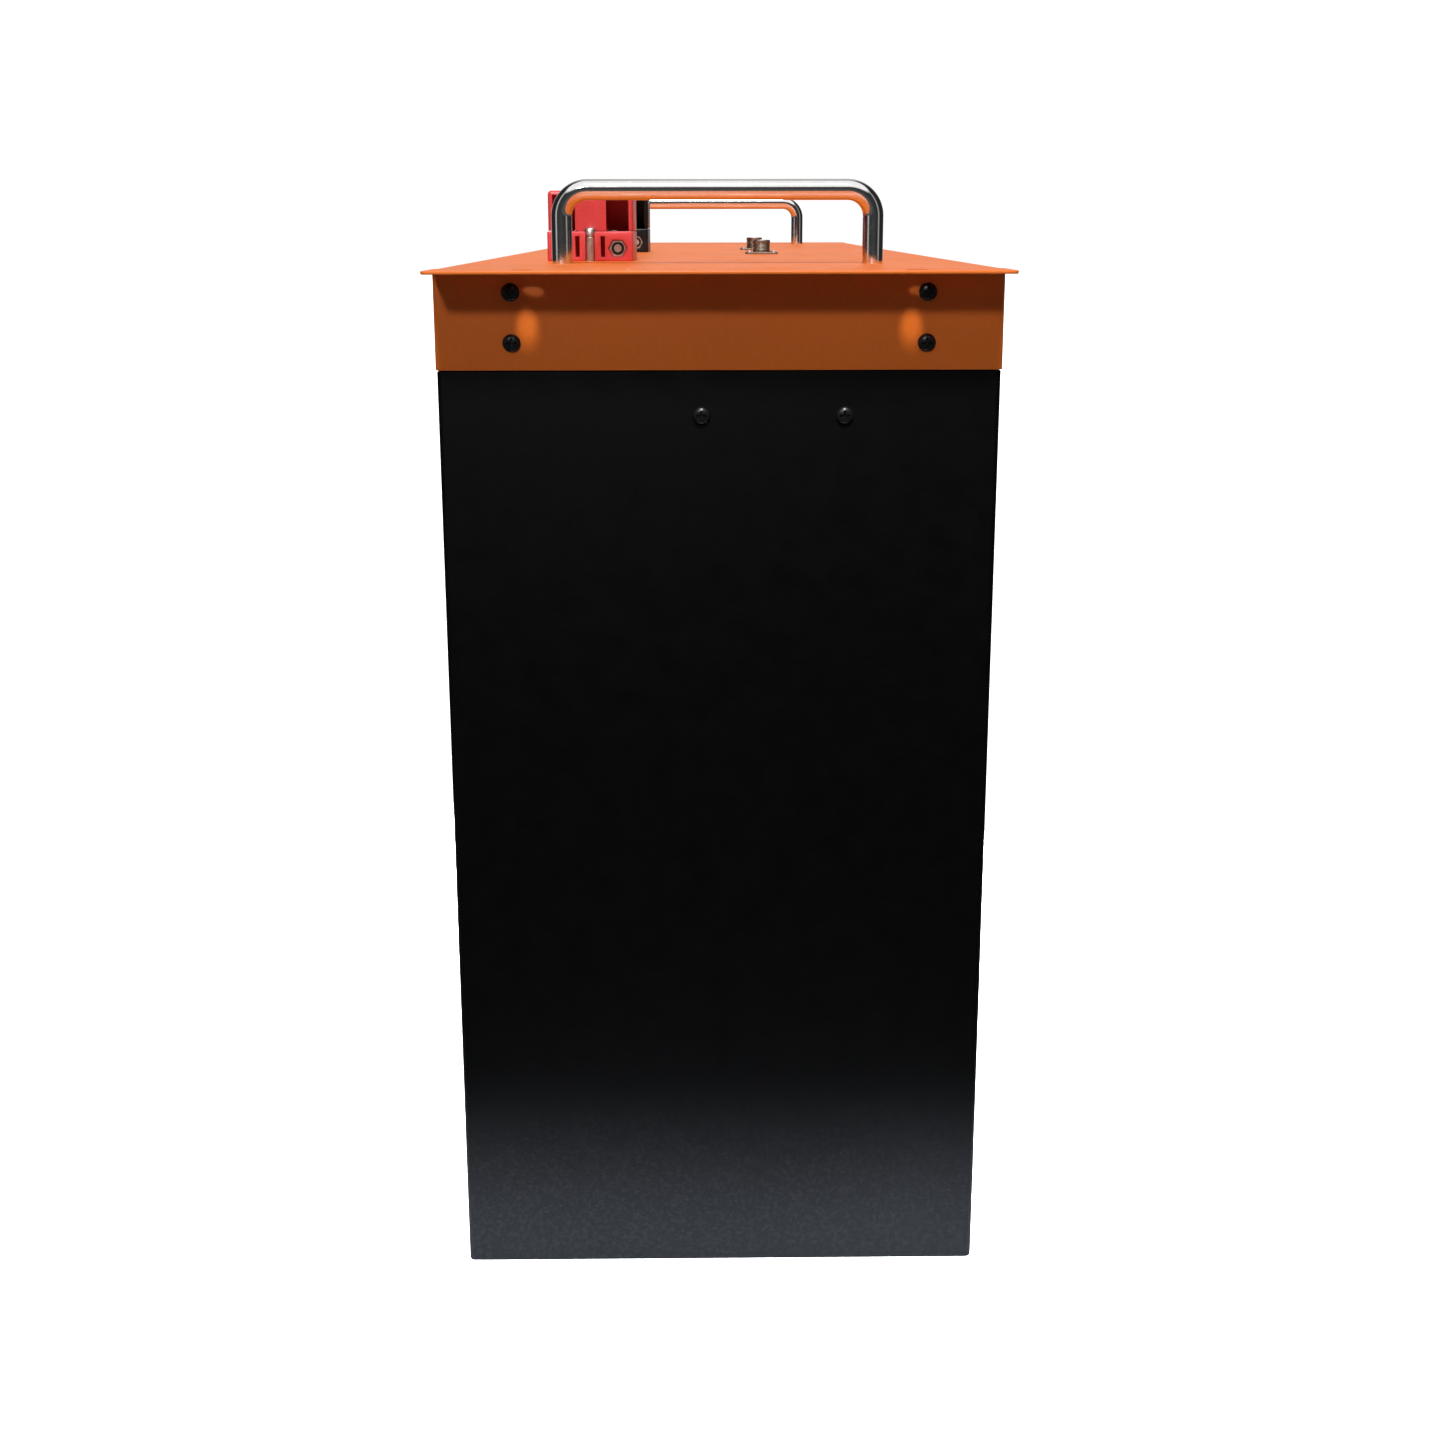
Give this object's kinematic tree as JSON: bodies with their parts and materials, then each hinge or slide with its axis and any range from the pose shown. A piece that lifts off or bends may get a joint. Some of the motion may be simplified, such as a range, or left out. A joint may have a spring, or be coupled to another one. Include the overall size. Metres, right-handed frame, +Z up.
{
  "type": "battery pack",
  "caption": "Upright sheet-steel battery case with an eared lid, two U-handles, two hooded terminal blocks and round signal sockets.",
  "frame": {"origin": "centre of the pack's bounding box at its underside", "axes": "+Z up, +Y along the pack away from the end with the terminals' fronts, +X to the right seen from that end"},
  "size_m": [0.25, 0.86, 0.525],
  "materials": {
    "orange_powder_coat": "fine satin powder coat on folded steel",
    "black_powder_coat": "fine-textured matte powder coat on folded steel",
    "chrome_bar": "polished chrome-plated bar",
    "nickel_fastener": "nickel-plated steel",
    "nickel_socket": "satin nickel-plated brass",
    "nickel_plated_copper": "nickel-plated copper",
    "red_plastic": "moulded flame-retardant nylon, satin",
    "black_plastic": "moulded flame-retardant nylon, satin",
    "black_screw": "black-oxide steel",
    "cell_film": "blue insulating film",
    "fibre_board": "glass-fibre laminate",
    "bracket_aluminium": "plain folded sheet",
    "circuit_board": "solder-masked board in a potted tray",
    "fuse_body": "ceramic-filled body",
    "red_lead": "silicone-sheathed cable",
    "black_lead": "silicone-sheathed cable"
  },
  "bodies": {
    "pack": {"case_shell": "black_powder_coat", "lid_cover": "orange_powder_coat", "handle_front": "chrome_bar", "handle_screw_front_left": "nickel_fastener", "handle_screw_front_right": "nickel_fastener", "handle_rear": "chrome_bar", "handle_screw_rear_left": "nickel_fastener", "handle_screw_rear_right": "nickel_fastener", "red_terminal_base": "red_plastic", "red_hinge_pin": "nickel_fastener", "red_conductor": "nickel_plated_copper", "red_mounting_stud": "nickel_fastener", "red_clamp_bolt_left": "nickel_fastener", "red_clamp_bolt_right": "nickel_fastener", "black_terminal_base": "black_plastic", "black_hinge_pin": "nickel_fastener", "black_conductor": "nickel_plated_copper", "black_mounting_stud": "nickel_fastener", "black_clamp_bolt_left": "nickel_fastener", "black_clamp_bolt_right": "nickel_fastener", "signal_socket_near": "nickel_socket", "signal_socket_far": "nickel_socket", "cover_screw_front_1": "black_screw", "cover_screw_front_2": "black_screw", "cover_screw_front_3": "black_screw", "cover_screw_front_4": "black_screw", "cover_screw_rear_1": "black_screw", "cover_screw_rear_2": "black_screw", "cover_screw_rear_3": "black_screw", "cover_screw_rear_4": "black_screw", "bracket_screw_1": "black_screw", "bracket_screw_2": "black_screw", "cell_lower_1": "cell_film", "cell_lower_2": "cell_film", "cell_lower_3": "cell_film", "cell_lower_4": "cell_film", "cell_lower_5": "cell_film", "cell_lower_6": "cell_film", "cell_lower_7": "cell_film", "cell_lower_8": "cell_film", "cell_upper_1": "cell_film", "cell_upper_2": "cell_film", "cell_upper_3": "cell_film", "cell_upper_4": "cell_film", "cell_upper_5": "cell_film", "cell_upper_6": "cell_film", "cell_upper_7": "cell_film", "cell_upper_8": "cell_film", "layer_separator": "fibre_board", "end_plate_front": "fibre_board", "end_plate_rear": "fibre_board", "link_board": "fibre_board", "board_bracket": "bracket_aluminium", "management_board": "circuit_board", "main_fuse": "fuse_body", "positive_lead": "red_lead", "negative_lead": "black_lead", "signal_lead": "black_lead"},
    "red_hood": {"red_terminal_hood": "red_plastic"},
    "black_hood": {"black_terminal_hood": "black_plastic"}
  },
  "joints": [
    {"name": "red_hood_hinge", "type": "hinge", "parent": "pack", "child": "red_hood", "pos_m": [-0.065, -0.215, 0.503], "axis": [-1, 0, 0], "range_deg": [0, 110]},
    {"name": "black_hood_hinge", "type": "hinge", "parent": "pack", "child": "black_hood", "pos_m": [-0.065, 0.016, 0.503], "axis": [-1, 0, 0], "range_deg": [0, 110]}
  ]
}
